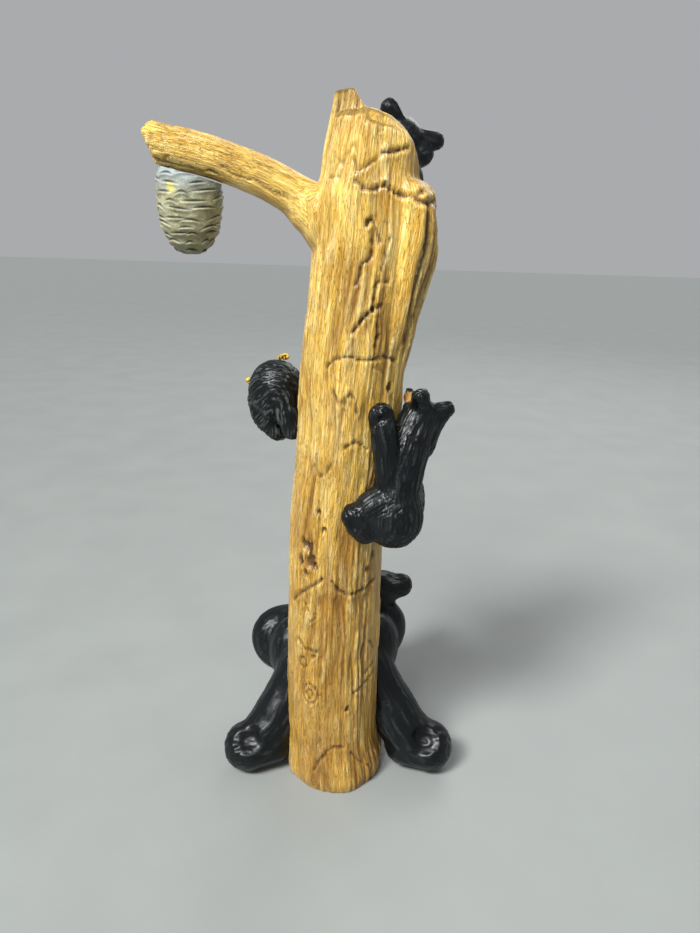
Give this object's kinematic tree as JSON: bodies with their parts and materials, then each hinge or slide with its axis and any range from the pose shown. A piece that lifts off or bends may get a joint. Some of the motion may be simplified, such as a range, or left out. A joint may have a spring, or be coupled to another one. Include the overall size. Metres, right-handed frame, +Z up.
{
  "type": "bears on a log figurine",
  "caption": "Small painted resin figurine imitating a chainsaw carving: a broken log with a branch and a hanging nest, a seated mother bear and climbing cubs.",
  "frame": {"origin": "centre of the bounding box's bottom face, on the surface the figurine stands on", "axes": "+Z up along the log; the branch and the nest reach towards -X; the mother bear sits on the +Y side of the log, with her soles towards -Y"},
  "size_m": [0.105, 0.0866, 0.2351],
  "materials": {
    "wood_paint": "tan wood paint with brown antiquing in the cuts, satin varnish",
    "bear_paint": "charcoal black paint, semi-gloss, carved fur",
    "nest_paint": "olive and blue-grey paint, dark wash in the creases",
    "bee_paint": "yellow paint with dark stripes"
  },
  "bodies": {
    "root": {"log": "wood_paint", "hive": "nest_paint", "mother_bear": "bear_paint", "right_cub": "bear_paint", "left_cub": "bear_paint", "top_cub": "bear_paint", "bee_1": "bee_paint", "bee_2": "bee_paint"}
  },
  "joints": []
}
